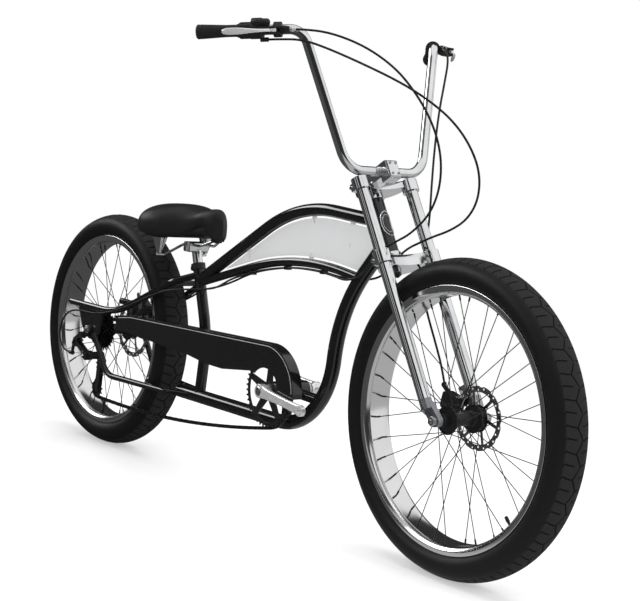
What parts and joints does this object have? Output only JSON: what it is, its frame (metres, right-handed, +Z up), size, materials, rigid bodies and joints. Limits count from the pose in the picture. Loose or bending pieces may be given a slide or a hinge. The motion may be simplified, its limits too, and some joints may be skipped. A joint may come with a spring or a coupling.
{
  "type": "chopper style beach cruiser bicycle",
  "caption": "Long low cruiser bicycle with curved frame tubes, tall handlebar, wide tyres, double crown fork, chain drive with derailleur, disc brakes and a sprung saddle.",
  "frame": {"origin": "where the rear tyre meets the floor, in the middle of its width", "axes": "+X is forward along the wheelbase, +Y is the rider's left, +Z is up"},
  "size_m": [2.0665, 0.7152, 1.1582],
  "materials": {
    "gloss_black": "gloss black paint",
    "guard_black": "gloss black paint with plain pale pinstripes",
    "silver_paint": "satin silver paint",
    "chrome": "bright chrome",
    "polished_alloy": "polished",
    "cast_alloy": "satin",
    "dark_alloy": "satin black",
    "steel": "plain",
    "dark_steel": "oiled",
    "black_spokes": "black",
    "tyre": "matt with moulded tread",
    "grip_rubber": "ribbed",
    "saddle_cover": "satin",
    "black_plastic": "satin",
    "cable_sheath": "smooth"
  },
  "bodies": {
    "frame": {"head_tube": "gloss_black", "down_tube": "gloss_black", "top_tube": "gloss_black", "tank_tube": "gloss_black", "seat_tube": "gloss_black", "bottom_bracket_shell": "gloss_black", "seat_stays": "gloss_black", "chain_stays": "gloss_black", "dropouts": "gloss_black", "tank_panel": "silver_paint", "bearing_cups": "chrome", "seat_clamp": "dark_alloy", "chain_guard": "guard_black", "rear_caliper": "dark_alloy", "rear_axle": "steel", "rear_brake_cable": "cable_sheath", "shift_cable": "cable_sheath", "chain": "dark_steel", "derailleur_knuckle": "dark_alloy"},
    "saddle": {"seat_post": "chrome", "saddle_rails": "chrome", "saddle_springs": "chrome", "saddle_pad": "saddle_cover"},
    "crank": {"crank_spindle": "steel", "crank_arm_right": "cast_alloy", "crank_arm_left": "cast_alloy", "chainring": "dark_alloy"},
    "freewheel": {"freewheel": "dark_steel"},
    "rear_wheel": {"rear_tyre": "tyre", "rear_rim": "polished_alloy", "rear_spokes": "black_spokes", "rear_hub": "dark_alloy", "rear_disc": "steel"},
    "fork": {"fork_legs": "chrome", "top_crown": "chrome", "lower_crown": "chrome", "stem": "chrome", "handlebar": "chrome", "grips": "grip_rubber", "lever_perches": "black_plastic", "shifter_pod": "black_plastic", "front_axle": "steel", "front_caliper": "dark_alloy", "front_brake_cable": "cable_sheath"},
    "front_wheel": {"front_tyre": "tyre", "front_rim": "polished_alloy", "front_spokes": "black_spokes", "front_hub": "dark_alloy", "front_disc": "steel"},
    "brake_lever_right": {"brake_lever_right": "polished_alloy"},
    "brake_lever_left": {"brake_lever_left": "polished_alloy"},
    "shift_collar": {"shift_collar": "grip_rubber"},
    "rear_caliper_arm": {"rear_caliper_arm": "steel"},
    "front_caliper_arm": {"front_caliper_arm": "steel"},
    "derailleur_outer_link": {"derailleur_outer_link": "dark_alloy"},
    "derailleur_inner_link": {"derailleur_inner_link": "dark_alloy"},
    "derailleur_body": {"derailleur_body": "black_plastic"},
    "derailleur_cage": {"derailleur_cage": "steel"},
    "upper_jockey_wheel": {"upper_jockey_wheel": "black_plastic"},
    "lower_jockey_wheel": {"lower_jockey_wheel": "black_plastic"}
  },
  "joints": [
    {"name": "steering", "type": "hinge", "parent": "frame", "child": "fork", "pos_m": [1.35643, 0, 0.31337], "axis": [-0.5373, 0, 0.8434], "range_deg": [-55, 55], "deforming": ["rear_brake_cable", "shift_cable"]},
    {"name": "front_wheel_spin", "type": "hinge", "parent": "fork", "child": "front_wheel", "pos_m": [1.4045, 0, 0.344], "axis": [0, 1, 0], "continuous": true},
    {"name": "rear_wheel_spin", "type": "hinge", "parent": "frame", "child": "rear_wheel", "pos_m": [0, 0, 0.318], "axis": [0, 1, 0], "continuous": true},
    {"name": "crank_spin", "type": "hinge", "parent": "frame", "child": "crank", "pos_m": [0.805, 0, 0.296], "axis": [0, 1, 0], "continuous": true, "deforming": ["chain"]},
    {"name": "freewheel_spin", "type": "hinge", "parent": "frame", "child": "freewheel", "pos_m": [0, -0.054, 0.318], "axis": [0, 1, 0], "continuous": true, "deforming": ["chain"]},
    {"name": "seat_post_slide", "type": "slide", "parent": "frame", "child": "saddle", "axis": [-0.3338, 0, 0.9426], "range_m": [-0.02, 0.035]},
    {"name": "brake_lever_right_pull", "type": "hinge", "parent": "fork", "child": "brake_lever_right", "pos_m": [0.97752, -0.2606, 1.13151], "axis": [0.0237, 0.1337, -0.9907], "range_deg": [0, 14], "stiffness_Nm_per_rad": 1.2, "springref_deg": -14.32},
    {"name": "brake_lever_left_pull", "type": "hinge", "parent": "fork", "child": "brake_lever_left", "pos_m": [0.97752, 0.2606, 1.13151], "axis": [-0.0237, 0.1337, 0.9907], "range_deg": [0, 14], "stiffness_Nm_per_rad": 1.2, "springref_deg": -14.32},
    {"name": "rear_caliper_pull", "type": "hinge", "parent": "frame", "child": "rear_caliper_arm", "pos_m": [0.05047, 0.0425, 0.39009], "axis": [0, 1, 0], "range_deg": [0, 21]},
    {"name": "front_caliper_pull", "type": "hinge", "parent": "fork", "child": "front_caliper_arm", "pos_m": [1.31273, 0.0685, 0.36435], "axis": [0, 1, 0], "range_deg": [0, 21]},
    {"name": "shift_twist", "type": "hinge", "parent": "fork", "child": "shift_collar", "pos_m": [0.89396, -0.2761, 1.12741], "axis": [-0.7618, -0.6393, -0.1045], "range_deg": [-18, 38]},
    {"name": "outer_link_swing", "type": "hinge", "parent": "frame", "child": "derailleur_outer_link", "pos_m": [-0.046, -0.098, 0.274], "axis": [0.4262, 0, 0.9046], "range_deg": [-9, 19], "deforming": ["chain", "shift_cable"]},
    {"name": "inner_link_swing", "type": "hinge", "parent": "frame", "child": "derailleur_inner_link", "pos_m": [-0.046, -0.084, 0.274], "axis": [0.4262, 0, 0.9046], "range_deg": [-9, 19]},
    {"name": "derailleur_body_swing", "type": "hinge", "parent": "derailleur_outer_link", "child": "derailleur_body", "pos_m": [0.00918, -0.098, 0.248], "axis": [0.4262, 0, 0.9046], "range_deg": [-19, 9], "deforming": ["chain"]},
    {"name": "cage_swing", "type": "hinge", "parent": "derailleur_body", "child": "derailleur_cage", "pos_m": [0.0275, -0.059, 0.249], "axis": [0, 1, 0], "range_deg": [-30, 15], "stiffness_Nm_per_rad": 0.6, "deforming": ["chain"]},
    {"name": "upper_jockey_spin", "type": "hinge", "parent": "derailleur_cage", "child": "upper_jockey_wheel", "pos_m": [0.02966, -0.059, 0.22491], "axis": [0, 1, 0], "continuous": true, "deforming": ["chain"]},
    {"name": "lower_jockey_spin", "type": "hinge", "parent": "derailleur_cage", "child": "lower_jockey_wheel", "pos_m": [0.02426, -0.059, 0.15606], "axis": [0, 1, 0], "continuous": true, "deforming": ["chain"]}
  ],
  "couplings": [
    {"joint": "freewheel_spin", "follows": "crank_spin", "ratio": 2.4444},
    {"joint": "upper_jockey_spin", "follows": "crank_spin", "ratio": -4},
    {"joint": "lower_jockey_spin", "follows": "crank_spin", "ratio": 4},
    {"joint": "rear_caliper_pull", "follows": "brake_lever_right_pull", "ratio": 1.5},
    {"joint": "front_caliper_pull", "follows": "brake_lever_left_pull", "ratio": 1.5},
    {"joint": "outer_link_swing", "follows": "shift_twist", "ratio": 0.5},
    {"joint": "inner_link_swing", "follows": "shift_twist", "ratio": 0.5},
    {"joint": "derailleur_body_swing", "follows": "shift_twist", "ratio": -0.5}
  ]
}
